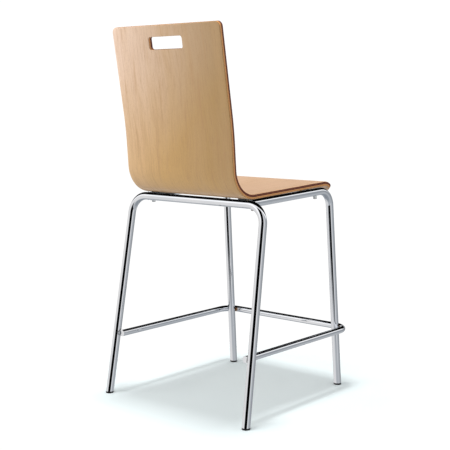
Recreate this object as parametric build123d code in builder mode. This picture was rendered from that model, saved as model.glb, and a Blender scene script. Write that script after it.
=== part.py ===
# Counter-height stacking stool: one bent plywood shell on a bent steel tube frame.
# Millimetres, +Z up.  The sitter faces -Y, so the sitter's left is +X.
# Everything is drawn about the frame's own middle, then moved as one so that the
# finished stool stands on Z = 0 with its bounding box centred on the Z axis.
import os
from math import atan, atan2, cos, degrees, radians, sin, sqrt, tan

from build123d import *

# ---------------------------------------------------------------- tubes
leg_dia = 22.2          # outer diameter of the leg and seat-rail tube
leg_wall = 1.6          # its wall
step_dia = 19.0         # outer diameter of the footrest tube
step_wall = 1.6         # its wall
step_cap = 2.0          # thickness of the closed end of the footrest tube

# ---------------------------------------------------------------- rear leg frame
rear_foot_x = 256.5     # half the spacing of the rear feet, at the floor
rear_foot_y = 249.5     # how far back the rear feet stand
rear_rail_x = 240.5     # half width of the rear rail, to its virtual corners
rear_rail_y = 155.5     # how far back the rear rail lies
rear_rail_z = 572.5     # height of the rear rail's centre line
rear_bend = 52.0        # centre-line radius of its two bends

# ---------------------------------------------------------------- side frames
front_foot_x = 203.0    # half the spacing of the front feet, at the floor
front_foot_y = 249.5    # how far forward the front feet stand
side_top_x = 195.0      # half spacing of the side frames at their front corners
side_top_y = 203.5      # how far forward those virtual corners lie
side_rise = 15.5        # how much higher the seat rails are in front than behind
side_tail_x = 183.0     # half spacing of the seat rails where they meet the rear rail
side_bend = 47.0        # centre-line radius of the bend above each front leg

# ---------------------------------------------------------------- footrest
step_z = 175.0          # height of the footrest's centre line
step_bend = 43.0        # centre-line radius of its two corner bends
step_tail = 1.0         # how far the footrest runs on past the rear leg's axis
weld_bite = 0.4         # how deep one tube is notched where it is welded to another

# ---------------------------------------------------------------- shell
shell_width = 386.0     # width of the plywood shell
shell_thick = 13.5      # thickness of the plywood
shell_gap = 0.8         # air between the seat rails and the shell
seat_rear_y = 212.0     # where the seat line would meet the back line
lumbar_rise = 197.5     # where the back starts to lean further, above the rear rail
back_rise = 468.7       # the back's top end above the rear rail, on the middle of the sheet
low_lean = 4.5          # lean of the lower back, degrees
top_lean = 9.8          # lean of the upper back, degrees
seat_bend = 78.0        # radius between seat and back, on the middle of the sheet
lumbar_bend = 900.0     # radius of the gentle bend in the back
nose_y = 207.0          # where the seat line would meet the turned-down nose
nose_drop = 52.0        # slope of the nose below level, degrees
nose_bend = 45.0        # radius of the nose, on the middle of the sheet
nose_land = 25.5        # length of the nose past its virtual corner
top_corner = 14.0       # corner radius at the top of the back
front_corner = 20.0     # corner radius at the front of the seat
rim_round = 2.0         # rounding of the shell's edges

# ---------------------------------------------------------------- hand slot
slot_width = 119.0      # opening through the back, side to side
slot_height = 33.5      # opening through the back, top to bottom
slot_corner = 7.0       # its corner radius
slot_rise = 422.0       # height of its centre above the rear rail
slot_round = 1.2        # rounding of its rim

# ---------------------------------------------------------------- seat fixings
tab_length = 48.0       # reach of each steel tab inboard of the seat rail
tab_width = 28.0        # size of the tab along the rail
tab_thick = 4.0         # its thickness
tab_corner = 6.0        # corner radius of its free end
spacer_thick = 8.0      # black spacer between tab and shell
spacer_inset = 1.5      # how far the spacer stops short of the tube
rear_tab_y = 114.0      # middle of the rear tabs
front_tab_y = -118.0    # middle of the front tabs
screw_dia = 6.0         # shank of the seat screws
screw_hole = 6.6        # clearance hole for them
screw_head = 11.0       # diameter of the button heads
head_height = 3.2       # height of the button heads
socket_size = 4.0       # hexagon socket, across flats
socket_deep = 1.8       # its depth
washer_dia = 14.0       # washer under each head
washer_thick = 1.2      # its thickness
insert_dia = 9.0        # threaded insert sunk into the shell from below
insert_length = 10.0    # its length
insert_clear = 0.05     # radial play of the screw in the insert
screw_inset = 0.6       # how far the screw stops short of the insert's blind end

# ---------------------------------------------------------------- floor glides
glide_height = 5.0      # black foot showing below the tube
stem_height = 22.0      # plug inside the tube
stem_play = 0.05        # radial play of the plug in the tube
glide_rib = 1.2         # depth of the grooves round the plug

# ---------------------------------------------------------------- stacking bumpers
bumper_dia = 11.0       # clear button under the seat rail
bumper_drop = 8.5       # how far it stands below the tube
bumper_pin = 4.0        # pin that snaps into the tube
bumper_play = 0.05      # radial play of the pin in its hole
rear_bumper_y = 134.0   # position of the rear bumpers
front_bumper_y = -137.0 # position of the front bumpers
weld_size = 9.0         # size of the weld at each footrest joint
weld_back = 1.6         # how far the rear weld's middle lies ahead of the leg's axis
rail_weld = 5.0         # size of the weld in each seat-rail corner

# ---------------------------------------------------------------- worked-out values
leg_r = leg_dia / 2
lumbar_z = rear_rail_z + lumbar_rise
back_top_z = rear_rail_z + back_rise
slot_z = rear_rail_z + slot_rise
step_r = step_dia / 2
reach = 40.0            # spare length that is cut away at the floor
side_slope = side_rise / (side_top_y + rear_rail_y)
side_angle = degrees(atan(side_slope))
seat_lift = (leg_r + shell_gap + shell_thick / 2) / cos(radians(side_angle))


def rail_z(y):
    """Height of the seat rails' centre line at y."""
    return rear_rail_z + side_slope * (rear_rail_y - y)


def rail_x(y):
    """Half spacing of the seat rails at y."""
    part = (rear_rail_y - y) / (rear_rail_y + side_top_y)
    return side_tail_x + (side_top_x - side_tail_x) * part


def rear_leg(z):
    """Point on the left rear leg's axis at height z."""
    part = z / rear_rail_z
    x = rear_foot_x + (rear_rail_x - rear_foot_x) * part
    y = rear_foot_y + (rear_rail_y - rear_foot_y) * part
    return Vector(x, y, z)


def front_leg(z):
    """Point on the left front leg's axis at height z."""
    part = z / (rear_rail_z + side_rise)
    x = front_foot_x + (side_top_x - front_foot_x) * part
    y = front_foot_y + (side_top_y - front_foot_y) * part
    return Vector(x, -y, z)


def swept(points, bend_radius, diameter):
    """Solid round bar along straight runs joined by bends."""
    with BuildPart() as bar:
        with BuildLine() as path:
            FilletPolyline(*points, radius=bend_radius)
        with BuildSketch(Plane(path.line @ 0, z_dir=path.line % 0)):
            Circle(diameter / 2)
        sweep(path=path.line)
    return bar.part


def below(height):
    """Block that removes everything under a level."""
    with BuildPart() as block:
        with Locations((0, 0, height)):
            Box(900, 900, 400, align=(Align.CENTER, Align.CENTER, Align.MAX))
    return block.part


floor_cut = below(glide_height)

# ---------------------------------------------------------------- rear leg frame
low = -reach
rear_points = [
    rear_leg(low),
    Vector(rear_rail_x, rear_rail_y, rear_rail_z),
    Vector(-rear_rail_x, rear_rail_y, rear_rail_z),
    Vector(-rear_leg(low).X, rear_leg(low).Y, low),
]
rear_solid = swept(rear_points, rear_bend, leg_dia)
with BuildPart() as rear_leg_frame:
    add(rear_solid)
    add(swept(rear_points, rear_bend, leg_dia - 2 * leg_wall), mode=Mode.SUBTRACT)
    add(floor_cut, mode=Mode.SUBTRACT)
rear_leg_frame.part.label = "rear_leg_frame"

# ---------------------------------------------------------------- side frames
side_points = [
    front_leg(low),
    Vector(side_top_x, -side_top_y, rear_rail_z + side_rise),
    Vector(side_tail_x, rear_rail_y, rear_rail_z),
]
side_solid = swept(side_points, side_bend, leg_dia)


def rail_plane(y):
    """Plane across the left seat rail's top at y, tilted with the rail."""
    tilt = radians(side_angle)
    return Plane(
        origin=(rail_x(y), y, rail_z(y)),
        x_dir=(1, 0, 0),
        z_dir=(0, sin(tilt), cos(tilt)),
    )


with BuildPart() as side_frame_left:
    add(side_solid)
    add(swept(side_points, side_bend, leg_dia - 2 * leg_wall), mode=Mode.SUBTRACT)
    add(rear_solid, mode=Mode.SUBTRACT)
    add(floor_cut, mode=Mode.SUBTRACT)
    for y in (rear_bumper_y, front_bumper_y):
        with BuildSketch(rail_plane(y)):
            Circle(bumper_pin / 2 + bumper_play)
        extrude(amount=-leg_dia, mode=Mode.SUBTRACT)
side_frame_left.part.label = "side_frame_left"

# ---------------------------------------------------------------- footrest
step_x = rear_leg(step_z).X - leg_r - step_r + weld_bite
leg_into_bend = front_leg(step_z).X - (step_x - step_bend)
bend_sag = step_bend - sqrt(step_bend**2 - max(leg_into_bend, 0) ** 2)
step_front = -front_leg(step_z).Y + leg_r + step_r - weld_bite + bend_sag
step_back = rear_leg(step_z).Y + step_tail


def step_path(tail):
    """Footrest path, stopping at y = tail on both sides."""
    return [
        Vector(step_x, tail, step_z),
        Vector(step_x, -step_front, step_z),
        Vector(-step_x, -step_front, step_z),
        Vector(-step_x, tail, step_z),
    ]


step_solid = swept(step_path(step_back), step_bend, step_dia)
legs = [rear_solid, side_solid, mirror(side_solid, about=Plane.YZ)]
with BuildPart() as footrest_rail:
    add(step_solid)
    add(swept(step_path(step_back - step_cap), step_bend, step_dia - 2 * step_wall), mode=Mode.SUBTRACT)
    for leg in legs:
        add(leg, mode=Mode.SUBTRACT)
footrest_rail.part.label = "footrest_rail"

# ---------------------------------------------------------------- welds
front_joint = front_leg(step_z) + Vector(0, -leg_r, 0)
rear_joint = rear_leg(step_z) + Vector(-leg_r, 0, 0)


def weld(points, size, tubes):
    """Weld metal round each point, filling only the space between the tubes."""
    with BuildPart() as metal:
        with Locations(*points):
            Sphere(size)
        for tube in tubes:
            add(tube, mode=Mode.SUBTRACT)
    return metal.part


def pair(left):
    """A piece and its mirror image, as separate solids of one node."""
    return Compound(left.solids() + mirror(left, about=Plane.YZ).solids())


front_welds = pair(weld([front_joint], weld_size, [side_solid, step_solid]))
rear_welds = pair(weld([rear_joint + Vector(0, -weld_back, 0)], weld_size, [rear_solid, step_solid]))


def corner_weld(side):
    """Wedge of weld metal between the left seat rail and the rear rail, on one side of it."""
    y = rear_rail_y - leg_r
    x = rail_x(y) + side * leg_r
    sunk_x = x - side * rail_weld / 2
    sunk_y = y + rail_weld / 2
    with BuildPart() as metal:
        with BuildSketch(Plane.XY.offset(rail_z(y) - rail_weld)):
            with BuildLine():
                Polyline(
                    (sunk_x, sunk_y),
                    (x + side * rail_weld, sunk_y),
                    (x + side * rail_weld, y),
                    (x, y - rail_weld),
                    (sunk_x, y - rail_weld),
                    close=True,
                )
            make_face()
        extrude(amount=2 * rail_weld)
        add(rear_solid, mode=Mode.SUBTRACT)
        add(side_solid, mode=Mode.SUBTRACT)
    return metal.part


rail_welds = pair(Compound([corner_weld(1), corner_weld(-1)]))

# ---------------------------------------------------------------- plywood shell


def seat_mid(y):
    """Height of the middle of the seat sheet at y."""
    return rail_z(y) + seat_lift


nose_angle = radians(nose_drop)
lumbar_y = seat_rear_y + (lumbar_z - seat_mid(seat_rear_y)) * tan(radians(low_lean))
back_top_y = lumbar_y + (back_top_z - lumbar_z) * tan(radians(top_lean))
nose_tip = (-nose_y - nose_land * cos(nose_angle), seat_mid(-nose_y) - nose_land * sin(nose_angle))


def towards(start, end, length):
    """Point a given length from start on the way to end."""
    run = Vector(*end) - Vector(*start)
    point = Vector(*start) + run.normalized() * length
    return (point.X, point.Y)


def bend_start(before, corner, after, radius):
    """Tangent points of a bend of the given radius at a corner."""
    turn = (Vector(*corner) - Vector(*before)).get_angle(Vector(*after) - Vector(*corner))
    length = radius * tan(radians(turn / 2))
    return towards(corner, before, length), towards(corner, after, length)


seat_front = (-nose_y, seat_mid(-nose_y))
seat_back = (seat_rear_y, seat_mid(seat_rear_y))
lumbar = (lumbar_y, lumbar_z)
back_top = (back_top_y, back_top_z)
nose_a, nose_b = bend_start(nose_tip, seat_front, seat_back, nose_bend)
seat_a, seat_b = bend_start(seat_front, seat_back, lumbar, seat_bend)
back_a, back_b = bend_start(seat_back, lumbar, back_top, lumbar_bend)

with BuildPart() as seat_shell:
    with BuildSketch(Plane.YZ.offset(-shell_width / 2)):
        with BuildLine() as sheet_line:
            Line(nose_tip, nose_a)
            TangentArc(nose_a, nose_b, tangent=Vector(*seat_front) - Vector(*nose_tip))
            Line(nose_b, seat_a)
            TangentArc(seat_a, seat_b, tangent=Vector(*seat_back) - Vector(*seat_front))
            Line(seat_b, back_a)
            TangentArc(back_a, back_b, tangent=Vector(*lumbar) - Vector(*seat_back))
            Line(back_b, back_top)
        trace(sheet_line.line, line_width=shell_thick)
    extrude(amount=shell_width)
    ends = seat_shell.edges().filter_by(lambda edge: abs(edge.length - shell_thick) < 0.01)
    top_ends = ends.sort_by(Axis.Z)[-2:]
    front_ends = ends.sort_by(Axis.Y)[:2]
    fillet(top_ends, radius=top_corner)
    fillet(front_ends, radius=front_corner)
    slot_y = lumbar_y + (slot_z - lumbar_z) * tan(radians(top_lean))
    slot_tilt = radians(top_lean)
    slot_plane = Plane((0, slot_y, slot_z), x_dir=(1, 0, 0), z_dir=(0, -cos(slot_tilt), sin(slot_tilt)))
    flat_sides = seat_shell.faces().filter_by(Axis.X)
    long_rims = flat_sides.edges().filter_by(lambda edge: edge.length > shell_thick + 0.5)
    fillet(long_rims, radius=rim_round)
    with BuildSketch(slot_plane):
        RectangleRounded(slot_width, slot_height, slot_corner)
    extrude(amount=shell_thick, both=True, mode=Mode.SUBTRACT)
    slot_edges = seat_shell.edges(Select.LAST)
    slot_rims = slot_edges.filter_by(lambda edge: abs(edge.length - shell_thick) > 0.1)
    fillet(slot_rims, radius=slot_round)


def fixing_plane(y):
    """Plane on the shell's underside at the left screw axis, Z into the wood."""
    tilt = radians(side_angle)
    up = Vector(0, sin(tilt), cos(tilt))
    across = rail_x(y) - leg_r - tab_length / 2
    origin = Vector(across, y, rail_z(y)) + up * (leg_r + shell_gap)
    return Plane(origin=origin, x_dir=(1, 0, 0), z_dir=up)


def mirrored(part):
    """The same piece on the other side of the stool."""
    return mirror(part, about=Plane.YZ)


with BuildPart() as insert_holes:
    for y in (rear_tab_y, front_tab_y):
        with BuildSketch(fixing_plane(y)):
            Circle(insert_dia / 2)
        extrude(amount=insert_length)
    mirror(about=Plane.YZ)

with seat_shell:
    add(insert_holes.part, mode=Mode.SUBTRACT)
seat_shell.part.label = "seat_shell"


# ---------------------------------------------------------------- seat fixings
def tab(y):
    """Steel tab welded to the inner side of the left seat rail."""
    with BuildPart() as plate:
        with BuildSketch(fixing_plane(y).offset(-spacer_thick)) as outline:
            with Locations((leg_r / 2, 0)):
                Rectangle(tab_length + leg_r, tab_width)
            fillet(outline.vertices().sort_by(Axis.X)[:2], radius=tab_corner)
            Circle(screw_hole / 2, mode=Mode.SUBTRACT)
        extrude(amount=-tab_thick)
        add(side_solid, mode=Mode.SUBTRACT)
    return plate.part


def spacer(y):
    """Black spacer between the tab and the shell."""
    with BuildPart() as pad:
        with BuildSketch(fixing_plane(y)) as outline:
            with Locations((-spacer_inset / 2, 0)):
                RectangleRounded(tab_length - spacer_inset, tab_width, tab_corner - 0.5)
            Circle(screw_hole / 2, mode=Mode.SUBTRACT)
        extrude(amount=-spacer_thick)
    return pad.part


def washer(y):
    """Washer under the screw head."""
    with BuildPart() as ring:
        with BuildSketch(fixing_plane(y).offset(-spacer_thick - tab_thick)):
            Circle(washer_dia / 2)
            Circle(screw_hole / 2, mode=Mode.SUBTRACT)
        extrude(amount=-washer_thick)
    return ring.part


def screw(y):
    """Button-head screw, driven up into the insert."""
    seat = fixing_plane(y).offset(-spacer_thick - tab_thick - washer_thick)
    shank = spacer_thick + tab_thick + washer_thick + insert_length - screw_inset
    with BuildPart() as bolt:
        with BuildSketch(seat):
            Circle(screw_head / 2)
        extrude(amount=-head_height)
        crown = bolt.edges().group_by(Axis.Z)[0]
        fillet(crown, radius=head_height * 0.75)
        with BuildSketch(seat.offset(-head_height)):
            RegularPolygon(socket_size / 2, 6, major_radius=False)
        extrude(amount=socket_deep, mode=Mode.SUBTRACT)
        with BuildSketch(seat):
            Circle(screw_dia / 2)
        extrude(amount=shank)
    return bolt.part


def insert(y):
    """Threaded insert sunk in the underside of the shell."""
    with BuildPart() as sleeve:
        with BuildSketch(fixing_plane(y)):
            Circle(insert_dia / 2)
            Circle(screw_dia / 2 + insert_clear, mode=Mode.SUBTRACT)
        extrude(amount=insert_length)
    return sleeve.part


def set_of_four(make):
    """The same small piece at all four fixings, as separate solids."""
    pieces = []
    for y in (rear_tab_y, front_tab_y):
        pieces += [make(y), mirrored(make(y))]
    return Compound(pieces)


# ---------------------------------------------------------------- floor glides
def glide(leg):
    """Foot and plug for the left leg whose axis point at height z is leg(z)."""
    lean = (leg(reach) - leg(0)).normalized()
    plug_r = leg_r - leg_wall - stem_play
    plug = Plane(origin=leg(glide_height / 2), z_dir=lean)
    with BuildPart() as foot:
        with BuildSketch(Plane(origin=leg(-reach), z_dir=lean)):
            Circle(leg_r)
        extrude(amount=2 * reach)
        split(bisect_by=Plane.XY, keep=Keep.TOP)
        split(bisect_by=Plane.XY.offset(glide_height), keep=Keep.BOTTOM)
        chamfer(foot.edges().group_by(Axis.Z)[0], length=0.8)
        with BuildSketch(plug):
            Circle(plug_r)
        extrude(amount=stem_height)
        for height in (8, 14):
            with BuildSketch(plug.offset(height)):
                Circle(plug_r + 1)
                Circle(plug_r - glide_rib, mode=Mode.SUBTRACT)
            extrude(amount=3, mode=Mode.SUBTRACT)
    return foot.part


# ---------------------------------------------------------------- stacking bumpers
def bumper(y):
    """Clear button saddled on the underside of the left seat rail."""
    centre = rail_plane(y)
    with BuildPart() as button:
        with BuildSketch(centre):
            Circle(bumper_dia / 2)
        extrude(amount=-leg_r - bumper_drop)
        fillet(button.edges().group_by(Axis.Z)[0], radius=1.5)
        add(side_solid, mode=Mode.SUBTRACT)
        with BuildSketch(centre.offset(-leg_r - 2)):
            Circle(bumper_pin / 2)
        extrude(amount=leg_wall + 3.5)
    return button.part


# ---------------------------------------------------------------- the pieces
nodes = {
    "seat_shell": seat_shell.part,
    "rear_leg_frame": rear_leg_frame.part,
    "side_frame_left": side_frame_left.part,
    "side_frame_right": mirrored(side_frame_left.part),
    "footrest_rail": footrest_rail.part,
    "footrest_front_welds": front_welds,
    "footrest_rear_welds": rear_welds,
    "seat_rail_welds": rail_welds,
    "tab_rear_left": tab(rear_tab_y),
    "tab_rear_right": mirrored(tab(rear_tab_y)),
    "tab_front_left": tab(front_tab_y),
    "tab_front_right": mirrored(tab(front_tab_y)),
    "spacer_rear_left": spacer(rear_tab_y),
    "spacer_rear_right": mirrored(spacer(rear_tab_y)),
    "spacer_front_left": spacer(front_tab_y),
    "spacer_front_right": mirrored(spacer(front_tab_y)),
    "seat_screws": set_of_four(screw),
    "screw_washers": set_of_four(washer),
    "threaded_inserts": set_of_four(insert),
    "glide_rear_left": glide(rear_leg),
    "glide_rear_right": mirrored(glide(rear_leg)),
    "glide_front_left": glide(front_leg),
    "glide_front_right": mirrored(glide(front_leg)),
    "bumper_rear_left": bumper(rear_bumper_y),
    "bumper_rear_right": mirrored(bumper(rear_bumper_y)),
    "bumper_front_left": bumper(front_bumper_y),
    "bumper_front_right": mirrored(bumper(front_bumper_y)),
}

# Centre the finished stool on the Z axis, standing on Z = 0, and write it out.
box = Compound(list(nodes.values())).bounding_box()
centring = Location((0, -box.center().Y, 0))
os.makedirs("parts", exist_ok=True)
for name, piece in nodes.items():
    placed = piece.moved(centring)
    placed.label = name
    export_step(placed, "parts/" + name + ".step")
print("pieces", len(nodes), "size", box.size, "shift", -box.center().Y)
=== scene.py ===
# %% [markdown]
# # A counter-height stacking chair, finished in Blender
# The hard pieces come ready-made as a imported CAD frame. This lesson loads them, gives every
# one a real finish, remakes the bent plywood shell with its veneers showing, and sets up a
# plain studio. Every length is in metres, +Z is up and the sitter faces -Y.

# %% Load the fixed frame
import math

import bpy
import numpy as np
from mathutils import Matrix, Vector


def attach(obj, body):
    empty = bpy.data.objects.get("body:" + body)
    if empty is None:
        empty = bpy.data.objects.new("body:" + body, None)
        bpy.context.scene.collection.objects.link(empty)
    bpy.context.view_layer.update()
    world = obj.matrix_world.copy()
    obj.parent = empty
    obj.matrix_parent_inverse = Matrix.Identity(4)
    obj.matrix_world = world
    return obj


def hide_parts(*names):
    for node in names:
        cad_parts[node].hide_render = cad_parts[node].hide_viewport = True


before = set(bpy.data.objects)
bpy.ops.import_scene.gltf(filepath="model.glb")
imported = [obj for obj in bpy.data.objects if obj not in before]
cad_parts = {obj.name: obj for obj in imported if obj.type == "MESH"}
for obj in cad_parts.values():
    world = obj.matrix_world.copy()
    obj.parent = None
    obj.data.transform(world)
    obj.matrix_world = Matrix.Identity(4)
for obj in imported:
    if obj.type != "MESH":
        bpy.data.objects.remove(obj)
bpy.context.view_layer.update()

# %% [markdown]
# ## The camera
# The chair is looked at from behind its right shoulder, from a little above seat height and
# fairly near, so the lines of the seat run together. The camera stands nearly three metres
# away, and a small sideways shift keeps the chair where it belongs in the frame.

# %% Camera
AZIMUTH = 220.07
ELEVATION = 7.13
DISTANCE = 2.870
LENS = 79.72
SENSOR = 36.0
SHIFT_X = -0.01587
SHIFT_Y = -0.00071
AIM_Z = 0.4892
MIDDLE_Y = -0.0060858  # where the drawing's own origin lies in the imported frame


def direction(azimuth, elevation):
    """Unit vector from the chair towards a viewer or a lamp."""
    a = math.radians(azimuth)
    e = math.radians(elevation)
    return Vector((math.sin(a) * math.cos(e), -math.cos(a) * math.cos(e), math.sin(e)))


aim = Vector((0.0, MIDDLE_Y, AIM_Z))
back = direction(AZIMUTH, ELEVATION)
camera = bpy.data.objects.new("camera", bpy.data.cameras.new("camera"))
bpy.context.scene.collection.objects.link(camera)
camera.location = aim + back * DISTANCE
camera.rotation_mode = "QUATERNION"
camera.rotation_quaternion = (-back).to_track_quat("-Z", "Y")
camera.data.sensor_width = SENSOR
camera.data.lens = LENS
camera.data.shift_x = SHIFT_X
camera.data.shift_y = SHIFT_Y
bpy.context.scene.camera = camera
print("camera at", [round(v, 3) for v in camera.location], "lens", round(camera.data.lens, 1))

# %% [markdown]
# ## Shader maths
# Materials are easier to read as sums than as boxes and wires. A small class wraps a socket,
# so that `a * 0.5 + b` adds the Math nodes by itself. Colours are mixed with their own method.


# %% Shader helpers
class Value:
    """A number that varies over a surface, on which ordinary arithmetic adds Math nodes."""

    def __init__(self, paint, socket):
        self.paint = paint
        self.socket = socket

    def _math(self, operation, *others):
        return self.paint.node("ShaderNodeMath", {"operation": operation}, self, *others)

    def __add__(self, other):
        return self._math("ADD", other)

    def __sub__(self, other):
        return self._math("SUBTRACT", other)

    def __mul__(self, other):
        return self._math("MULTIPLY", other)

    def __truediv__(self, other):
        return self._math("DIVIDE", other)

    def __rsub__(self, other):
        return self.paint.node("ShaderNodeMath", {"operation": "SUBTRACT"}, other, self)

    __radd__ = __add__
    __rmul__ = __mul__

    def clamped(self):
        return self.paint.node("ShaderNodeMath", {"operation": "ADD", "use_clamp": True}, self, 0.0)

    def ramp(self, low, high):
        """0 below low, 1 above high, smooth between."""
        settings = {"interpolation_type": "SMOOTHSTEP"}
        return self.paint.node("ShaderNodeMapRange", settings, self, low, high, 0.0, 1.0)


class Paint:
    """One material: its node tree, its Principled shader and short ways to add nodes."""

    def __init__(self, name):
        self.material = bpy.data.materials.new(name)
        self.material.use_nodes = True
        self.tree = self.material.node_tree
        self.shader = self.tree.nodes["Principled BSDF"]
        self.output = self.tree.nodes["Material Output"]

    def connect(self, value, socket):
        """Feeds a socket from a Value, another socket, or a constant."""
        if isinstance(value, Value):
            value = value.socket
        if isinstance(value, bpy.types.NodeSocket):
            self.tree.links.new(value, socket)
        else:
            socket.default_value = value

    def node(self, kind, settings, *inputs, out=0, **named):
        """Adds any node: settings first, then its inputs in order or by name."""
        made = self.tree.nodes.new(kind)
        for key, setting in settings.items():
            setattr(made, key, setting)
        for place, value in enumerate(inputs):
            self.connect(value, made.inputs[place])
        for key, value in named.items():
            self.connect(value, made.inputs[key.replace("_", " ")])
        return Value(self, made.outputs[out])

    def place(self):
        """The point on the object, in metres."""
        return self.node("ShaderNodeTexCoord", {}, out=3)

    def mapped(self, vector, scale=(1, 1, 1), shift=(0, 0, 0)):
        return self.node("ShaderNodeMapping", {}, vector, Scale=scale, Location=shift)

    def parts(self, vector):
        """The x, y and z of a vector, as Values."""
        made = self.tree.nodes.new("ShaderNodeSeparateXYZ")
        self.connect(vector, made.inputs[0])
        return [Value(self, socket) for socket in made.outputs]

    def attribute(self, name):
        """A vector stored on the mesh."""
        return self.node("ShaderNodeAttribute", {"attribute_name": name}, out=1)

    def noise(self, vector, scale, detail=2.0, roughness=0.5, distortion=0.0):
        return self.node(
            "ShaderNodeTexNoise",
            {},
            Vector=vector,
            Scale=scale,
            Detail=detail,
            Roughness=roughness,
            Distortion=distortion,
        )

    def mix(self, factor, first, second, blend="MIX"):
        """Colour mix."""
        made = self.tree.nodes.new("ShaderNodeMix")
        made.data_type = "RGBA"
        made.blend_type = blend
        made.clamp_factor = True
        self.connect(factor, made.inputs[0])
        self.connect(first, made.inputs[6])
        self.connect(second, made.inputs[7])
        return Value(self, made.outputs[2])

    def join(self, x, y, z):
        """A vector from three values."""
        return self.node("ShaderNodeCombineXYZ", {}, x, y, z)

    def distance(self, vector, point):
        """How far the point on the surface is from a fixed point, in metres."""
        return self.node("ShaderNodeVectorMath", {"operation": "DISTANCE"}, vector, point, out=1)

    def fill_ramp(self, ramp, stops):
        """Sets a colour ramp's stops, given as (place from 0 to 1, colour)."""
        elements = ramp.socket.node.color_ramp.elements
        while len(elements) < len(stops):
            elements.new(1.0)
        for element, (place, shade) in zip(elements, stops):
            element.position = place
            element.color = shade

    def bump(self, height, distance, strength=1.0):
        return self.node("ShaderNodeBump", {}, Height=height, Distance=distance, Strength=strength)

    def set(self, **values):
        """Sets the Principled shader's sockets; an underscore stands for a space."""
        for key, value in values.items():
            self.connect(value, self.shader.inputs[key.replace("_", " ")])
        return self.material


print("shader helpers ready")

# %% [markdown]
# ## Plywood
# The shell is a stack of thin veneers under a satin lacquer. Both faces are pale sliced
# veneer whose grain runs along the sheet: broad soft bands, fine lines, and short rays that
# only show close up. At the rim the stack is cut through, so the plies show as stripes, and
# the ones laid crosswise show darker end grain. The wide dark band just under the upper face
# is partly that end grain and partly painted shade. One material does both. It reads the point's
# place on the flat sheet (across, along, through), stored on the mesh, so the pattern follows
# the bend as real wood does.


# %% Plywood finish
def tone(red, green, blue):
    """A shader colour from ordinary 0 to 255 screen values."""
    linear = []
    for value in (red, green, blue):
        share = value / 255
        linear.append(((share + 0.055) / 1.055) ** 2.4 if value > 10 else share / 12.92)
    return (*linear, 1.0)


def grey(light, tint):
    """A grey of a brightness, made cooler by a tint above 0 and warmer below."""
    return (light * (1 - tint), light, light * (1 + tint), 1.0)


THICKNESS = 0.0135
STACK_MM = 13.5
PLY_STACK_AND_EDGE_SHADE = [  # depth in mm below the upper face where each layer ends, and its cut colour
    (0.95, tone(214, 178, 134)),
    # painted shade: this dark band is wider than one ply, partly crosswise end grain and partly
    # painted shade along the top of the rim
    (3.70, tone(98, 40, 25)),
    (4.50, tone(170, 94, 52)),
    (7.30, tone(90, 38, 24)),
    (9.80, tone(232, 164, 100)),
    (10.40, tone(96, 46, 28)),
    (12.30, tone(236, 172, 106)),
    (12.70, tone(64, 40, 30)),
    (STACK_MM, tone(210, 172, 126)),
]
BLUR = 0.06  # mm over which one layer's colour gives way to the next
UPPER_EDGE, LOWER_EDGE = (0.55, 0.95), (12.55, 12.95)  # mm, where face gives way to rim and back
PALE, WARM = tone(240, 211, 190), tone(221, 176, 110)
SEAT_VENEER = tone(216, 177, 142)
THROUGH = 500.0  # marks per metre through the sheet, enough to make the two faces differ
GRAIN = {  # marks per metre across and along the sheet, detail, roughness
    "bands": (20.0, 1.9, 3.0, 0.5),
    "streaks": (120.0, 6.5, 4.0, 0.55),
    "hairs": (620.0, 22.0, 3.0, 0.6),
    "rays": (1500.0, 170.0, 1.0, 0.5),
}
GRAIN_TINTS = [  # marks, where they begin and are full, strength, colour
    ("bands", 0.45, 0.70, 0.35, tone(203, 166, 122)),
    ("streaks", 0.52, 0.72, 0.42, tone(190, 146, 100)),
    ("hairs", 0.46, 0.72, 0.34, tone(168, 124, 84)),
    ("rays", 0.56, 0.74, 0.30, tone(160, 116, 78)),
]


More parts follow.
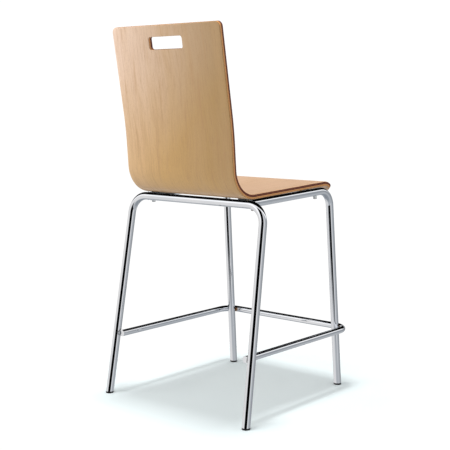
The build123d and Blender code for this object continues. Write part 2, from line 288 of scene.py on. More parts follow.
def plywood():
    """Pale veneer faces with plies showing round the rim."""
    paint = Paint("maple_plywood")
    sheet = paint.attribute("sheet")
    across, along, through = paint.parts(sheet)

    wander = paint.noise(paint.mapped(sheet, (5.0, 2.4, 60.0)), 1.0, detail=3.0)
    bent = paint.join(across + (wander - 0.5) * 0.05, along, through)
    marks = {}
    for name, (per_width, per_length, detail, roughness) in GRAIN.items():
        stretched = paint.mapped(bent, (per_width, per_length, THROUGH))
        marks[name] = paint.noise(stretched, 1.0, detail, roughness)

    # the back is palest high up on the sitter's left and browner low down and to the right: partly
    # the veneer's own drift, partly painted light falling off
    drift_and_light_fall = across * -2.0 + 0.30
    warmth = (1 - along.ramp(0.42, 0.85)) * 0.7 + marks["bands"] * 0.3 + drift_and_light_fall
    face = paint.mix(warmth.clamped(), PALE, WARM)
    face = paint.mix(1 - along.ramp(0.34, 0.46), face, SEAT_VENEER)
    # painted shade: the right of the back is darkened further, where the light falls off
    shade = (across * -2.7 + 0.58).clamped() * along.ramp(0.40, 0.50) * 0.82
    face = paint.mix(shade, face, grey(0.60, 0.0), blend="MULTIPLY")
    for name, start, full, strength, colour in GRAIN_TINTS:
        face = paint.mix(marks[name].ramp(start, full) * strength, face, colour)

    depth = (THICKNESS / 2 - through) * 1000.0
    grit = paint.noise(paint.mapped(sheet, (420.0, 420.0, 1500.0)), 1.0, detail=3.0)
    fibres = paint.noise(paint.mapped(sheet, (60.0, 60.0, 2600.0)), 1.0, detail=2.0)
    layer = paint.node("ShaderNodeValToRGB", {}, (depth + (grit - 0.5) * 0.25) / STACK_MM)
    stops = [(0.0, PLY_STACK_AND_EDGE_SHADE[0][1])]
    for (lower, above), (_, below) in zip(PLY_STACK_AND_EDGE_SHADE[:-1], PLY_STACK_AND_EDGE_SHADE[1:]):
        stops += [((lower - BLUR) / STACK_MM, above), ((lower + BLUR) / STACK_MM, below)]
    paint.fill_ramp(layer, stops)
    rim = paint.mix(fibres.ramp(0.4, 0.75) * 0.25, layer, tone(120, 70, 44), blend="MULTIPLY")
    inside = depth.ramp(*UPPER_EDGE) * (1 - depth.ramp(*LOWER_EDGE))

    streaks, hairs = marks["streaks"], marks["hairs"]
    polish = streaks * 0.08 + hairs * 0.06 + inside * 0.18 + 0.32
    pores = marks["rays"].ramp(0.6, 0.8) * 0.4
    grain = streaks * 0.3 + hairs * 0.5 - pores + inside * fibres * 1.5
    return paint.set(
        Base_Color=paint.mix(inside, face, rim),
        Roughness=polish,
        Normal=paint.bump(grain, 0.00012, 0.6),
        Coat_Weight=(1 - inside) * 0.2 + 0.03,
        Coat_Roughness=0.25,
        Specular_IOR_Level=0.35,
    )


wood = plywood()
print("plywood:", len(wood.node_tree.nodes), "nodes")

# %% [markdown]
# ## Chrome and welds
# The tubes are chrome plated after welding: almost a mirror, with a faint smear of polish and
# the slow ripple that plate has over drawn tube. Beside the two front welds of the footrest the
# heat has left a straw to brown tint, which is made from the distance to the weld's own place.

# %% Chrome, weld metal, zinc and brass
STRAW, BROWN = tone(206, 160, 92), tone(112, 70, 38)


def chrome(name, tint_points=()):
    """Bright plate, warmed by the heat tint near the given points."""
    paint = Paint(name)
    here = paint.place()
    smear = paint.noise(paint.mapped(here, (7.0, 7.0, 3.0)), 1.0, detail=4.0, roughness=0.6)
    fine = paint.noise(here, 420.0, detail=2.0)
    ripple = paint.noise(here, 35.0, detail=1.0)
    base = paint.mix(smear.ramp(0.3, 0.7), tone(240, 241, 244), tone(228, 231, 236))
    rough = smear.ramp(0.5, 0.8) * 0.012 + fine * 0.008 + 0.004
    for point in tint_points:
        away = paint.distance(here, point) + (fine - 0.5) * 0.005
        straw = 1 - away.ramp(0.009, 0.015)
        brown = 1 - away.ramp(0.0085, 0.0115)
        base = paint.mix(straw * 0.7, base, STRAW)
        base = paint.mix(brown * 0.6, base, BROWN)
        rough = rough + straw * 0.08
    return paint.set(
        Base_Color=base,
        Metallic=1.0,
        Roughness=rough,
        Normal=paint.bump(ripple + fine * 0.05, 0.00006, 0.06),
    )


def metal(name, light, dark, rough, scale, depth):
    """Plain metal that varies between two colours, with its own fine surface."""
    paint = Paint(name)
    here = paint.place()
    patch = paint.noise(here, scale, detail=4.0, roughness=0.65)
    fine = paint.noise(here, scale * 6.0, detail=2.0)
    return paint.set(
        Base_Color=paint.mix(patch.ramp(0.3, 0.7), light, dark),
        Metallic=1.0,
        Roughness=patch * 0.12 + fine * 0.06 + rough,
        Normal=paint.bump(patch + fine * 0.5, depth, 0.6),
    )


def welded():
    """Plated ripples: straw and brown at the front joints, plain plate at the others."""
    paint = Paint("weld_metal")
    here = paint.place()
    behind = paint.parts(here)[1].ramp(-0.03, 0.0)
    patch = paint.noise(here, 380.0, detail=4.0, roughness=0.65)
    burnt = paint.mix(patch.ramp(0.3, 0.7), STRAW, tone(112, 68, 34))
    bright = paint.mix(patch.ramp(0.3, 0.7), tone(226, 228, 230), tone(176, 176, 176))
    return paint.set(
        Base_Color=paint.mix(behind, burnt, bright),
        Metallic=1.0,
        Roughness=patch * 0.2 + 0.1,
        Normal=paint.bump(patch, 0.0002, 0.6),
    )


weld_metal = welded()
zinc = metal("zinc_plate", tone(196, 199, 204), tone(164, 168, 176), 0.24, 160.0, 0.00008)
brass = metal("insert_brass", tone(214, 182, 112), tone(186, 148, 82), 0.22, 240.0, 0.00006)
print("metals ready")

# %% [markdown]
# ## Plastics
# The feet and the blocks under the seat are black moulded nylon with a fine spark-eroded
# grain, a little shinier where they are handled. The stacking buttons are clear and slightly
# milky, so light glows through their edges.


# %% Black and clear plastic
def black_plastic():
    """Moulded nylon with a fine grain."""
    paint = Paint("black_nylon")
    here = paint.place()
    grain = paint.noise(here, 1500.0, detail=2.0)
    patch = paint.noise(here, 60.0, detail=3.0)
    return paint.set(
        Base_Color=paint.mix(patch.ramp(0.3, 0.7), tone(20, 20, 21), tone(34, 34, 35)),
        Roughness=patch * 0.15 + grain * 0.1 + 0.34,
        Normal=paint.bump(grain, 0.00008, 0.5),
        Specular_IOR_Level=0.45,
    )


def clear_plastic():
    """Clear plastic, a little cloudy."""
    paint = Paint("clear_button")
    here = paint.place()
    cloud = paint.noise(here, 130.0, detail=3.0)
    return paint.set(
        Base_Color=paint.mix(cloud.ramp(0.3, 0.7), tone(244, 246, 247), tone(226, 231, 234)),
        Roughness=cloud * 0.12 + 0.06,
        Normal=paint.bump(cloud, 0.00008, 0.3),
        Transmission_Weight=0.75,
        IOR=1.49,
    )


black = black_plastic()
clear = clear_plastic()
print("plastics ready")

# %% [markdown]
# ## Geometry trees
# Two things on this chair follow a rule. The shell is a flat sheet bent along a line, and a
# weld is one small ripple repeated along a seam. Each is a Geometry Nodes tree with named
# sizes. A helper class adds the nodes, and a second helper runs a tree and keeps its mesh.


# %% Helpers for geometry trees
class Recipe:
    """A Geometry Nodes tree that is built one call at a time."""

    def __init__(self, name):
        self.tree = bpy.data.node_groups.new(name, "GeometryNodeTree")
        self.tree.is_modifier = True
        self.inlet = self.tree.nodes.new("NodeGroupInput")
        self.outlet = self.tree.nodes.new("NodeGroupOutput")
        for way in ("INPUT", "OUTPUT"):
            self.tree.interface.new_socket("Geometry", in_out=way, socket_type="NodeSocketGeometry")

    def input(self, name, kind="Float"):
        """A named input of the whole tree."""
        self.tree.interface.new_socket(name, in_out="INPUT", socket_type="NodeSocket" + kind)
        return self.inlet.outputs[name]

    def node(self, kind, settings, **named):
        """Adds a node, its settings first, and returns it."""
        made = self.tree.nodes.new(kind)
        for key, setting in settings.items():
            setattr(made, key, setting)
        for key, value in named.items():
            place = int(key[1:]) if key[1:].isdigit() else key.replace("_", " ")
            socket = made.inputs[place]
            if isinstance(value, bpy.types.NodeSocket):
                self.tree.links.new(value, socket)
            else:
                socket.default_value = value
        return made

    def finish(self, geometry, material):
        """Ends the tree: instances made real, the finish set, and the result sent out."""
        real = self.node("GeometryNodeRealizeInstances", {}, Geometry=geometry)
        coat = self.node("GeometryNodeSetMaterial", {}, Geometry=real.outputs[0], Material=material)
        self.tree.links.new(coat.outputs[0], self.outlet.inputs[0])
        return self.tree


def grown(name, source, tree, sizes):
    """Runs a tree on a source mesh and returns a plain object with the result."""
    holder = bpy.data.objects.new(name + "_source", source)
    bpy.context.scene.collection.objects.link(holder)
    modifier = holder.modifiers.new(name, "NODES")
    modifier.node_group = tree
    for item in tree.interface.items_tree:
        if item.in_out == "INPUT" and item.name in sizes:
            modifier[item.identifier] = sizes[item.name]
    graph = bpy.context.evaluated_depsgraph_get()
    made = bpy.data.meshes.new_from_object(
        holder.evaluated_get(graph),
        preserve_all_data_layers=True,
        depsgraph=graph,
    )
    made.name = name
    bpy.data.objects.remove(holder)
    finish = next(m for m in made.materials if m)
    made.materials.clear()
    made.materials.append(finish)
    made.polygons.foreach_set("material_index", [0] * len(made.polygons))
    piece = bpy.data.objects.new(name, made)
    bpy.context.scene.collection.objects.link(piece)
    made.polygons.foreach_set("use_smooth", [True] * len(made.polygons))
    print(name, "faces", len(made.polygons), "finish", finish.name)
    return piece


# %% [markdown]
# ## The line of the shell
# Seen from the side the shell is four straight runs joined by three bends: the nose that
# drops behind the knees, the seat, the deep bend at the back of the seat, and the back, which
# leans a little more above the waist. The corners come from the drawing. A Fillet Curve node
# rounds them, each with its own radius.

# %% Corners of the shell's line, as (y, z) and the radius of the bend there
RAIL_REAR = (0.1555, 0.5725)
RAIL_FRONT = (-0.2035, 0.5880)
rail_slope = (RAIL_FRONT[1] - RAIL_REAR[1]) / (RAIL_REAR[0] - RAIL_FRONT[0])
TUBE_RADIUS = 0.0111
SEAT_GAP = 0.0008
lift = (TUBE_RADIUS + SEAT_GAP + THICKNESS / 2) / math.cos(math.atan(rail_slope))


def seat_height(y):
    """Height of the middle of the seat sheet."""
    return RAIL_REAR[1] + rail_slope * (RAIL_REAR[0] - y) + lift


def leaning(start, angle, height):
    """Point at a height on a line that leans back from start."""
    return (start[0] + (height - start[1]) * math.tan(math.radians(angle)), height)


NOSE_Y, NOSE_LAND, NOSE_DROP = -0.207, 0.0255, math.radians(52.0)
SEAT_REAR_Y = 0.212
LOW_LEAN, TOP_LEAN = 4.5, 9.8  # degrees
WAIST_Z, TOP_Z = 0.770, 1.0412
NOSE_BEND, SEAT_BEND, WAIST_BEND = 0.045, 0.078, 0.900
nose_corner = (NOSE_Y, seat_height(NOSE_Y))
nose_tip = (
    nose_corner[0] - NOSE_LAND * math.cos(NOSE_DROP),
    nose_corner[1] - NOSE_LAND * math.sin(NOSE_DROP),
)
seat_corner = (SEAT_REAR_Y, seat_height(SEAT_REAR_Y))
waist = leaning(seat_corner, LOW_LEAN, WAIST_Z)
top = leaning(waist, TOP_LEAN, TOP_Z)
corners = [nose_tip, nose_corner, seat_corner, waist, top]
bends = [0.0, NOSE_BEND, SEAT_BEND, WAIST_BEND, 0.0]


def line_length():
    """Length of the rounded line: its straight runs, less what the bends cut off."""
    total = 0.0
    headings = []
    for a, b in zip(corners[:-1], corners[1:]):
        total += math.dist(a, b)
        headings.append(math.atan2(b[1] - a[1], b[0] - a[0]))
    for radius, before, after in zip(bends[1:-1], headings[:-1], headings[1:]):
        turn = abs((after - before + math.pi) % (2 * math.pi) - math.pi)
        total += radius * (turn - 2 * math.tan(turn / 2))
    return total


sheet_length = line_length()
print("the flat sheet is", round(sheet_length, 4), "m long")

# %% [markdown]
# ## The flat sheet
# The blank is a grid of rows. Each row is as wide as the outline is there, which rounds the
# corners and the hand slot without cutting anything. The rim then rolls over from one face to
# the other in small steps, as a router with a rounding bit leaves it.

# %% Rows of the blank
RIM = 0.002
SLOT_RIM = 0.0012
SLOT_WIDTH = 0.119
SLOT_HEIGHT = 0.0335
SLOT_CORNER = 0.007
SLOT_Z = 0.9945
SHELL_WIDTH = 0.386
TOP_CORNER = 0.014
FRONT_CORNER = 0.020
slot_middle = sheet_length - (top[1] - SLOT_Z) / math.cos(math.radians(TOP_LEAN))
slot_low = slot_middle - SLOT_HEIGHT / 2 - SLOT_RIM
slot_high = slot_middle + SLOT_HEIGHT / 2 + SLOT_RIM
slot_radius = SLOT_CORNER + SLOT_RIM
ROW_SPACING = 0.006
TINY = 1e-7


def rounded(distance, radius):
    """How far a rounded corner draws the outline in, at a distance from its end."""
    if distance >= radius:
        return 0.0
    return radius - math.sqrt(max(radius**2 - (radius - distance) ** 2, 0.0))


def corner_rows(start, radius, sign, count=10):
    """Rows that divide a corner's arc evenly."""
    turns = [math.pi / 2 * k / count for k in range(count + 1)]
    return [start + sign * radius * (1 - math.cos(turn)) for turn in turns]


def blank_rows(spacing):
    """Distances along the sheet where the grid has a row."""
    low = RIM
    high = sheet_length - RIM
    wanted = corner_rows(low, FRONT_CORNER - RIM, 1) + corner_rows(high, TOP_CORNER - RIM, -1)
    wanted += corner_rows(slot_low, slot_radius, 1) + corner_rows(slot_high, slot_radius, -1)
    fixed = sorted(wanted)
    for k in range(int(sheet_length / spacing)):
        place = low + k * spacing
        if min(abs(place - f) for f in fixed) > spacing * 0.5 and place < high:
            wanted.append(place)
    kept = []
    for place in sorted(wanted):
        if not kept or place - kept[-1] > 1e-5:
            kept.append(place)
    return kept


row_places = blank_rows(ROW_SPACING)
print("rows", len(row_places))


# %% One face of the blank, and its open edges
SIDE_STEPS = 12
MIDDLE_STEPS = 10


def face_grid():
    """Points (across, along) and quads of one face, with the slot left open."""
    slot_half = SLOT_WIDTH / 2 + SLOT_RIM
    points = []
    for place in row_places:
        edge = SHELL_WIDTH / 2 - RIM
        edge -= rounded(place - RIM, FRONT_CORNER - RIM)
        edge -= rounded(sheet_length - RIM - place, TOP_CORNER - RIM)
        inner = slot_half - slot_radius
        if slot_low - TINY <= place <= slot_high + TINY:
            inner = slot_half - rounded(place - slot_low, slot_radius)
            inner -= rounded(slot_high - place, slot_radius)
        left = np.linspace(-edge, -inner, SIDE_STEPS + 1)
        middle = np.linspace(-inner, inner, MIDDLE_STEPS + 1)[1:-1]
        points += [(x, place) for x in np.concatenate([left, middle, -left[::-1]])]
    columns = 2 * SIDE_STEPS + MIDDLE_STEPS + 1
    quads = []
    for row in range(len(row_places) - 1):
        in_slot = slot_low - TINY <= row_places[row] and row_places[row + 1] <= slot_high + TINY
        for column in range(columns - 1):
            if in_slot and SIDE_STEPS <= column < SIDE_STEPS + MIDDLE_STEPS:
                continue
            a = row * columns + column
            quads.append((a, a + 1, a + columns + 1, a + columns))
    used = sorted({v for quad in quads for v in quad})
    number = {v: i for i, v in enumerate(used)}
    return [points[v] for v in used], [tuple(number[v] for v in quad) for quad in quads]


def open_loops(quads):
    """The grid's open edges as closed loops, with the sheet on their left."""
    edges = {(quad[i], quad[(i + 1) % 4]) for quad in quads for i in range(4)}
    follows = {a: b for a, b in edges if (b, a) not in edges}
    loops = []
    while follows:
        first = min(follows)
        loop = [first]
        here = follows.pop(first)
        while here != first:
            loop.append(here)
            here = follows.pop(here)
        loops.append(loop)
    return loops


def roll_over(radius, steps=4, flats=6):
    """Section of the rim from the upper face to the lower: (outward, through) pairs."""
    quarter = [math.pi / 2 * k / steps for k in range(1, steps + 1)]
    upper = [(radius * math.sin(t), THICKNESS / 2 - radius * (1 - math.cos(t))) for t in quarter]
    flat = [(radius, t) for t in np.linspace(upper[-1][1], -upper[-1][1], flats)[1:-1]]
    return upper + flat + [(out, -through) for out, through in upper[::-1]]


def outward_of(ring):
    """Unit vectors pointing out of the sheet round a closed loop of points."""
    back = ring - np.roll(ring, 1, axis=0)
    ahead = np.roll(ring, -1, axis=0) - ring
    tangent = back / np.linalg.norm(back, axis=1)[:, None]
    tangent += ahead / np.linalg.norm(ahead, axis=1)[:, None]
    tangent /= np.linalg.norm(tangent, axis=1)[:, None]
    return np.stack([tangent[:, 1], -tangent[:, 0]], axis=1)


def blank_mesh():
    """The whole flat sheet, closed, with each point's place on the sheet stored on it."""
    flat, quads = face_grid()
    count = len(flat)
    half = THICKNESS / 2
    points = [(x, s, half) for x, s in flat] + [(x, s, -half) for x, s in flat]
    faces = quads + [tuple(v + count for v in quad[::-1]) for quad in quads]
    for loop in open_loops(quads):
        ring = np.array([flat[v] for v in loop])
        outward = outward_of(ring)
        radius = SLOT_RIM if np.abs(ring[:, 0]).max() < SLOT_WIDTH else RIM
        rings = [loop]
        for out, through in roll_over(radius):
            rings.append([len(points) + i for i in range(len(loop))])
            for (x, s), (nx, ns) in zip(ring, outward):
                points.append((x + nx * out, s + ns * out, through))
        rings.append([v + count for v in loop])
        for upper, lower in zip(rings[:-1], rings[1:]):
            for i in range(len(loop)):
                j = (i + 1) % len(loop)
                faces.append((upper[i], lower[i], lower[j], upper[j]))
    mesh = bpy.data.meshes.new("shell_blank")
    mesh.from_pydata(points, [], faces)
    mesh.update()
    stored = mesh.attributes.new("sheet", "FLOAT_VECTOR", "POINT")
    stored.data.foreach_set("vector", np.array(points, dtype=np.float32).ravel())
    return mesh


blank = blank_mesh()
print("blank", len(blank.vertices), "points", len(blank.polygons), "faces")

# %% [markdown]
# ## Bending the sheet
# The tree rounds the line's corners, then finds, for every point of the blank, the place on
# the line at its distance along, and the line's direction there. The point goes that far out
# to the side and that far off the line, exactly as a press would carry it. The rear rail would
# mirror the shell as a brown band, so the shell is left out of reflections, and the dark part
# of the room overhead shows there instead.


# %% The bending tree
def line_mesh():
    """The line's corners as a chain of edges, with each bend's radius stored on it."""
    mesh = bpy.data.meshes.new("shell_line")
    points = [(0.0, y + MIDDLE_Y, z) for y, z in corners]
    mesh.from_pydata(points, [(i, i + 1) for i in range(len(points) - 1)], [])
    stored = mesh.attributes.new("bend", "FLOAT", "POINT")
    stored.data.foreach_set("value", bends)
    return mesh


def bending_recipe(material):
    """Bends a flat sheet along a line with rounded corners."""
    recipe = Recipe("bend_sheet")
    line = recipe.input("Line", "Object")
    steps = recipe.input("Steps per bend", "Int")
    shape = recipe.node("GeometryNodeObjectInfo", {}, Object=line)
    curve = recipe.node("GeometryNodeMeshToCurve", {}, Mesh=shape.outputs["Geometry"])
    radius = recipe.node("GeometryNodeInputNamedAttribute", {"data_type": "FLOAT"}, Name="bend")
    fillet = recipe.node(
        "GeometryNodeFilletCurve",
        {"mode": "POLY"},
        Curve=curve.outputs[0],
        Radius=radius.outputs[0],
        Count=steps,
    )
    place = recipe.node("GeometryNodeInputPosition", {})
    parts = recipe.node("ShaderNodeSeparateXYZ", {}, _0=place.outputs[0])
    sample = recipe.node(
        "GeometryNodeSampleCurve",
        {"mode": "LENGTH", "data_type": "FLOAT"},
        Curves=fillet.outputs[0],
        Length=parts.outputs[1],
    )
    across = recipe.node("ShaderNodeCombineXYZ", {}, _0=parts.outputs[0])
    rise = recipe.node(
        "ShaderNodeVectorMath",
        {"operation": "CROSS_PRODUCT"},
        _0=(1.0, 0.0, 0.0),
        _1=sample.outputs["Tangent"],
    )
    off = recipe.node(
        "ShaderNodeVectorMath",
        {"operation": "SCALE"},
        _0=rise.outputs[0],
        _3=parts.outputs[2],
    )
    moved = recipe.node(
        "ShaderNodeVectorMath",
        {"operation": "ADD"},
        _0=across.outputs[0],
        _1=off.outputs[0],
    )
    final = recipe.node(
        "ShaderNodeVectorMath",
        {"operation": "ADD"},
        _0=moved.outputs[0],
        _1=sample.outputs["Position"],
    )
    bent = recipe.node(
        "GeometryNodeSetPosition",
        {},
        Geometry=recipe.inlet.outputs[0],
        Position=final.outputs[0],
    )
    return recipe.finish(bent.outputs[0], material)


line = bpy.data.objects.new("shell_line", line_mesh())
bpy.context.scene.collection.objects.link(line)
shell = grown("plywood_shell", blank, bending_recipe(wood), {"Line": line, "Steps per bend": 64})
bpy.data.objects.remove(line)
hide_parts("seat_shell")
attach(shell, "root")
shell.visible_glossy = False
spread = np.array([v.co for v in shell.data.vertices])
print("shell box", spread.min(0).round(4), spread.max(0).round(4))

# %% [markdown]
# ## Weld beads
# The footrest and the seat rails are welded to the legs before plating. A real bead is a row
# of overlapping ripples, one for each dab of the torch, laid along the seam where two tubes
# meet. The seam is worked out from the two tubes, and a tree lays one flattened drop per step.

# %% Tubes that meet at the welds
FOOTREST_RADIUS = 0.0095
STEP_HEIGHT = 0.175
BITE = 0.0004
STEP_BEND = 0.043
STEP_BEAD, RAIL_BEAD = 0.0020, 0.0017  # radius of a ripple
STEP_SPACING, RAIL_SPACING = 0.0011, 0.0009
BEAD_OUT = 0.35  # share of a ripple's radius that its middle stands off the tubes
RAIL_X = 0.1834
REAR_FOOT, REAR_TOP = (0.2565, 0.2495, 0.0), (0.2405, 0.1555, 0.5725)
FRONT_FOOT, FRONT_TOP = (0.203, -0.2495, 0.0), (0.195, -0.2035, 0.5880)


def on_leg(foot, top, height):
    """Point on a leg's axis at a height, and the axis's direction."""
    a = np.array(foot) + (0.0, MIDDLE_Y, 0.0)
    run = np.array(top) - np.array(foot)
    return a + run * height / run[2], run / np.linalg.norm(run)


rear_axis = on_leg(REAR_FOOT, REAR_TOP, STEP_HEIGHT)
front_axis = on_leg(FRONT_FOOT, FRONT_TOP, STEP_HEIGHT)
step_x = rear_axis[0][0] - TUBE_RADIUS - FOOTREST_RADIUS + BITE
into_bend = math.asin((front_axis[0][0] - (step_x - STEP_BEND)) / STEP_BEND)
touching = TUBE_RADIUS + FOOTREST_RADIUS - BITE
side_run = (rear_axis[0] - (touching, 0.0, 0.0), np.array((0.0, 1.0, 0.0)))
front_way = np.array((math.cos(into_bend), math.sin(into_bend), 0.0))
front_run = (front_axis[0] - (0.0, touching, 0.0), front_way)
print("footrest runs at x =", round(step_x, 4))
print("bend reached", round(math.degrees(into_bend), 1), "degrees")


# %% Seams between the tubes
def height_of(radius, off):
    """Height of a tube's surface over its middle plane, at a distance from its axis."""
    return math.sqrt(max(radius**2 - off**2, 0))


def crossing_seam(one, one_radius, other, other_radius, count=40):
    """Loop where two crossing tubes' surfaces meet, each tube grown by the bead."""
    (a, u), (b, v) = one, other
    normal = np.cross(u, v)
    length = np.linalg.norm(normal)
    normal /= length
    nearest = a + u * np.dot(np.cross(b - a, v), normal) / length
    gap = np.dot(b - a, normal)
    if gap < 0:
        normal, gap = -normal, -gap
    beside_one = np.cross(normal, u)
    beside_other = np.cross(normal, v)
    loop = []
    for k in range(count):
        turn = 2 * math.pi * k / count
        way = math.cos(turn) * u + math.sin(turn) * beside_one
        near, far = 0.0, min(one_radius, other_radius)
        for _ in range(40):
            reach = (near + far) / 2
            t = reach * np.dot(way, beside_one)
            d = reach * np.dot(way, beside_other)
            meets = height_of(one_radius, t) + height_of(other_radius, d)
            near, far = (reach, far) if meets > gap else (near, reach)
        t = near * np.dot(way, beside_one)
        loop.append(nearest + near * way + normal * height_of(one_radius, t))
    return loop


def corner_seam(side, span=68.0, count=24):
    """Arc where a seat rail butts into the rear rail, on one side of it."""
    radius = TUBE_RADIUS + RAIL_BEAD * BEAD_OUT
    arc = []
    for k in range(count + 1):
        turn = math.radians(-span + 2 * span * k / count)
        y = RAIL_REAR[0] + MIDDLE_Y - radius * math.cos(turn)
        z = RAIL_REAR[1] + radius * math.sin(turn)
        x = RAIL_X + side * radius * math.cos(turn)
        arc.append(np.array((x, y, z)))
    return arc


def seam_mesh(name, seams):
    """The seams and their mirror images as chains of edges. A seam is (points, closed)."""
    points, edges = [], []
    for flip in (1, -1):
        for seam, closed in seams:
            base = len(points)
            points += [(flip * p[0], p[1], p[2]) for p in seam]
            edges += [(base + i, base + i + 1) for i in range(len(seam) - 1)]
            if closed:
                edges.append((base + len(seam) - 1, base))
    mesh = bpy.data.meshes.new(name)
    mesh.from_pydata(points, edges, [])
    return mesh


grow = STEP_BEAD * BEAD_OUT
leg_radius, run_radius = TUBE_RADIUS + grow, FOOTREST_RADIUS + grow
front_loop = crossing_seam(front_axis, leg_radius, front_run, run_radius)
rear_loop = crossing_seam(rear_axis, leg_radius, side_run, run_radius)
seam_length = sum(math.dist(a, b) for a, b in zip(front_loop, front_loop[1:]))
print("front seam length", round(seam_length, 4))


# %% The weld tree
def ripple_recipe(material):
    """Lays flattened drops along seams."""
    recipe = Recipe("weld_ripples")
    radius = recipe.input("Bead radius")
    spacing = recipe.input("Ripple spacing")
    flatness = recipe.input("Ripple flatness")
    uneven = recipe.input("Unevenness")
    seed = recipe.input("Seed", "Int")
    seam = recipe.node("GeometryNodeMeshToCurve", {}, Mesh=recipe.inlet.outputs[0])
    steps = recipe.node(
        "GeometryNodeResampleCurve",
        {"mode": "LENGTH"},
        Curve=seam.outputs[0],
        Length=spacing,
    )
    drop = recipe.node("GeometryNodeMeshUVSphere", {}, Segments=10, Rings=6, Radius=radius)
    tangent = recipe.node("GeometryNodeInputTangent", {})
    turn = recipe.node(
        "FunctionNodeAlignRotationToVector",
        {"axis": "Z"},
        Vector=tangent.outputs[0],
    )
    low = recipe.node("ShaderNodeMath", {"operation": "SUBTRACT"}, _0=1.0, _1=uneven)
    high = recipe.node("ShaderNodeMath", {"operation": "ADD"}, _0=1.0, _1=uneven)
    chance = recipe.node(
        "FunctionNodeRandomValue",
        {"data_type": "FLOAT"},
        _2=low.outputs[0],
        _3=high.outputs[0],
        Seed=seed,
    )
    shape = recipe.node("ShaderNodeCombineXYZ", {}, _0=1.0, _1=1.0, _2=flatness)
    size = recipe.node(
        "ShaderNodeVectorMath",
        {"operation": "SCALE"},
        _0=shape.outputs[0],
        _3=chance.outputs[1],
    )
    laid = recipe.node(
        "GeometryNodeInstanceOnPoints",
        {},
        Points=steps.outputs[0],
        Instance=drop.outputs[0],
        Rotation=turn.outputs[0],
        Scale=size.outputs[0],
    )
    return recipe.finish(laid.outputs[0], material)


ripples = ripple_recipe(weld_metal)
ripple_sizes = {"Ripple flatness": 0.9, "Unevenness": 0.10, "Seed": 3}
footrest_seams = seam_mesh("footrest_seams", [(front_loop, True), (rear_loop, True)])
footrest_sizes = {"Bead radius": STEP_BEAD, "Ripple spacing": STEP_SPACING, **ripple_sizes}
footrest_beads = grown("footrest_weld_beads", footrest_seams, ripples, footrest_sizes)
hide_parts("footrest_front_welds", "footrest_rear_welds")
rail_seams = seam_mesh("rail_seams", [(corner_seam(1), False), (corner_seam(-1), False)])
rail_sizes = {"Bead radius": RAIL_BEAD, "Ripple spacing": RAIL_SPACING, **ripple_sizes}
rail_beads = grown("seat_rail_weld_beads", rail_seams, ripples, rail_sizes)
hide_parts("seat_rail_welds")
for beads in (footrest_beads, rail_beads):
    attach(beads, "root")

# %% [markdown]
# ## Finishes on the ready-made pieces
# The tubes, plates, screws and plastic feet already have their right shape, so they only get
# their finish. The tubes' chrome knows where the welds are, for the heat tint.

# %% Finishes by piece
front_joint = front_axis[0] + (0.0, -TUBE_RADIUS, 0.0)
front_welds = [tuple(front_joint), tuple(front_joint * (-1, 1, 1))]
plated = chrome("chrome_tube", front_welds)
plain_plate = chrome("chrome_plate")


def finish_for(name):
    """The finish of a ready-made piece, from its name."""
    if "glide" in name or "spacer" in name:
        return black
    if "bumper" in name:
        return clear
    if "insert" in name:
        return brass
    if "screw" in name or "washer" in name:
        return zinc
    if "weld" in name:
        return weld_metal
    if "tab" in name:
        return plain_plate
    return plated


for name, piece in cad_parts.items():
    finish = wood if name == "seat_shell" else finish_for(name)
    if not piece.material_slots:
        piece.data.materials.append(finish)
    for place in piece.material_slots:
        place.material = finish
print({name: piece.material_slots[0].material.name for name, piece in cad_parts.items()})

# %% [markdown]
# ## Floor
# The chair stands on a seamless pale floor. Close by it is matt paper that takes the soft
# shadow of the seat, and further out it fades into the backdrop, so no horizon shows. The
# room's own lower half stands for it in the chrome and in the light from below.


# %% Pale floor
def floor_mesh(radius=9.0, rings=24, sides=96):
    """A wide disc, finer towards the middle."""
    points = [(0.0, 0.0, 0.0)]
    faces = []
    for ring in range(1, rings + 1):
        reach = radius * (ring / rings) ** 2
        for side in range(sides):
            turn = 2 * math.pi * side / sides
            points.append((reach * math.cos(turn), reach * math.sin(turn), 0.0))
    for side in range(sides):
        after = (side + 1) % sides
        faces.append((0, 1 + side, 1 + after))
        for ring in range(rings - 1):
            a = 1 + ring * sides
            b = a + sides
            faces.append((a + side, b + side, b + after, a + after))
    mesh = bpy.data.meshes.new("floor")
    mesh.from_pydata(points, [], faces)
    return mesh


FLOOR_FADE = (0.38, 0.66)  # metres from the middle


def floor_finish():
    """Matt pale paper, fading into the backdrop with distance."""
    paint = Paint("floor")
    here = paint.place()
    cloud = paint.noise(here, 3.0, detail=2.0)
    fade = paint.distance(here, (0.0, 0.0, 0.0)).ramp(*FLOOR_FADE)
    paint.set(
        Base_Color=paint.mix(cloud, tone(235, 246, 248), tone(239, 249, 250)),
        Roughness=cloud * 0.1 + 0.55,
    )
    clear_out = paint.node("ShaderNodeBsdfTransparent", {})
    both = paint.node("ShaderNodeMixShader", {}, fade, paint.shader.outputs[0], clear_out)
    paint.connect(both, paint.output.inputs[0])
    return paint.material


floor = bpy.data.objects.new("floor", floor_mesh())
bpy.context.scene.collection.objects.link(floor)
floor.data.materials.append(floor_finish())
floor.visible_diffuse = False
floor.visible_glossy = False
print("floor ready")

# %% [markdown]
# ## Studio light
# Chrome shows the room, so the room is part of the finish. The world answers in three ways. The
# camera sees plain white. Mirror rays see a pale tent, with a dark strip behind the lens that
# draws the black line down each leg, a bright band and then darkness overhead for the line along
# each rail, and paper low down. Matt surfaces are lit by the same tent with a grey ceiling.


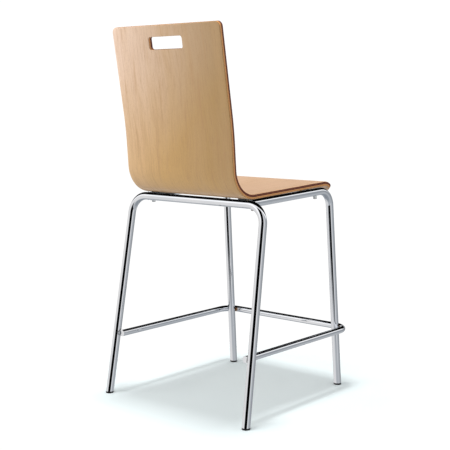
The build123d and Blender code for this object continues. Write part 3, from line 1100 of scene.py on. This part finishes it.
# %% The tent
TENT_LIGHT = 1.44
BACKDROP = 1.05
CEILING = 0.60
LEFT_WALL, BAND, OVERHEAD = 1.2, 1.1, 0.003  # brightness of the parts that only chrome sees
CEILING_EDGE = (0.30, 0.42)
PAPER_EDGE = (-0.36, -0.27)
BAND_EDGE = (0.42, 0.54)  # how far above and beyond the chair the bright band begins
DARK_EDGE = (0.71, 0.77)  # the same for the dark part above it
TENT_WALLS = [  # angle from the lens in degrees, brightness, tint
    (-180.0, 0.60, 0.0),
    (-120.0, 0.80, -0.02),
    (-60.0, 0.84, -0.01),
    (-54.0, 0.70, 0.0),
    (-49.0, 0.0, 0.0),
    (13.0, 0.0, 0.0),
    (20.0, 0.35, 0.02),
    (28.0, 1.00, 0.0),
    (50.0, 0.55, 0.03),
    (110.0, 0.34, 0.06),
    (150.0, 0.30, 0.03),
    (180.0, 0.60, 0.0),
]


def tent():
    """World light: what the chrome sees, with plain white behind the chair."""
    world = bpy.data.worlds.new("tent")
    world.use_nodes = True
    bpy.context.scene.world = world
    paint = Paint.__new__(Paint)
    paint.tree = world.node_tree
    paint.tree.nodes.clear()
    out = paint.tree.nodes.new("ShaderNodeOutputWorld")
    way = paint.node("ShaderNodeTexCoord", {}, out=0)
    dot = {"operation": "DOT_PRODUCT"}
    lens = tuple(direction(AZIMUTH, 0.0))
    right = tuple(direction(AZIMUTH + 90.0, 0.0))
    towards = paint.node("ShaderNodeVectorMath", dot, way, lens, out=1)
    sideways = paint.node("ShaderNodeVectorMath", dot, way, right, out=1)
    turn = paint.node("ShaderNodeMath", {"operation": "ARCTAN2"}, sideways, towards)
    walls = paint.node("ShaderNodeValToRGB", {}, turn / (2 * math.pi) + 0.5)
    shades = [(angle / 360.0 + 0.5, grey(light, tint)) for angle, light, tint in TENT_WALLS]
    paint.fill_ramp(walls, shades)
    z = paint.parts(way)[2]
    leftward = sideways * -1.0
    paper = paint.mix(z.ramp(-0.85, -0.55), grey(0.33, 0.08), grey(0.50, 0.04))
    paper = paint.mix(leftward.ramp(0.3, 0.7), paper, grey(0.80, -0.01))
    room = paint.mix(1 - z.ramp(*PAPER_EDGE), walls, paper)
    lit_room = paint.mix(z.ramp(*CEILING_EDGE), room, grey(CEILING, 0.0))
    beyond = z - towards
    left_wall = leftward.ramp(0.6, 0.85) * z.ramp(0.12, 0.32)
    band = beyond.ramp(*BAND_EDGE) * z.ramp(0.10, 0.25)
    overhead = (beyond - sideways * 0.10).ramp(*DARK_EDGE) * z.ramp(0.12, 0.26)
    mirror_room = paint.mix(left_wall, room, grey(LEFT_WALL, 0.0))
    mirror_room = paint.mix(band, mirror_room, grey(BAND, 0.0))
    mirror_room = paint.mix(overhead, mirror_room, grey(OVERHEAD, 0.0))
    seen = paint.node("ShaderNodeBackground", {}, grey(1.0, 0.0), BACKDROP)
    mirrored = paint.node("ShaderNodeBackground", {}, mirror_room, 1.0)
    lit = paint.node("ShaderNodeBackground", {}, lit_room, TENT_LIGHT)
    camera_ray = paint.node("ShaderNodeLightPath", {}, out=0)
    glossy_ray = paint.node("ShaderNodeLightPath", {}, out=3)
    light = paint.node("ShaderNodeMixShader", {}, glossy_ray, lit, mirrored)
    both = paint.node("ShaderNodeMixShader", {}, camera_ray, light, seen)
    paint.connect(both, out.inputs[0])


tent()
print("tent ready")

# %% [markdown]
# ## Lamps
# Three soft boxes finish the light. One behind the sitter's left shoulder makes the light on the
# back fall off to the other side, a small one low down opens the shade under the bend, and one
# high above casts the shadow of the seat on the floor. None of them is mirrored in the chrome.


# %% Soft boxes
def soft_lamp(name, place, target, size, watts):
    """A square soft box at a place, turned towards a target."""
    lamp = bpy.data.objects.new(name, bpy.data.lights.new(name, "AREA"))
    lamp.data.energy = watts
    lamp.data.size = size
    lamp.location = place
    lamp.rotation_mode = "QUATERNION"
    lamp.rotation_quaternion = (Vector(place) - Vector(target)).to_track_quat("Z", "Y")
    lamp.visible_glossy = False
    bpy.context.scene.collection.objects.link(lamp)


soft_lamp("side_box", (0.60, 0.75, 1.12), (0.0, 0.2, 0.85), 0.5, 2.7)
soft_lamp("low_box", (0.75, 0.70, 0.30), (0.0, 0.2, 0.65), 0.4, 0.4)
soft_lamp("top_box", (0.0, 0.22, 3.6), (0.0, 0.0, 0.0), 0.45, 60.0)
bpy.context.scene.view_settings.view_transform = "Standard"
print("lamps ready")

# %% [markdown]
# ## The end

# %% Finish
bpy.context.view_layer.update()
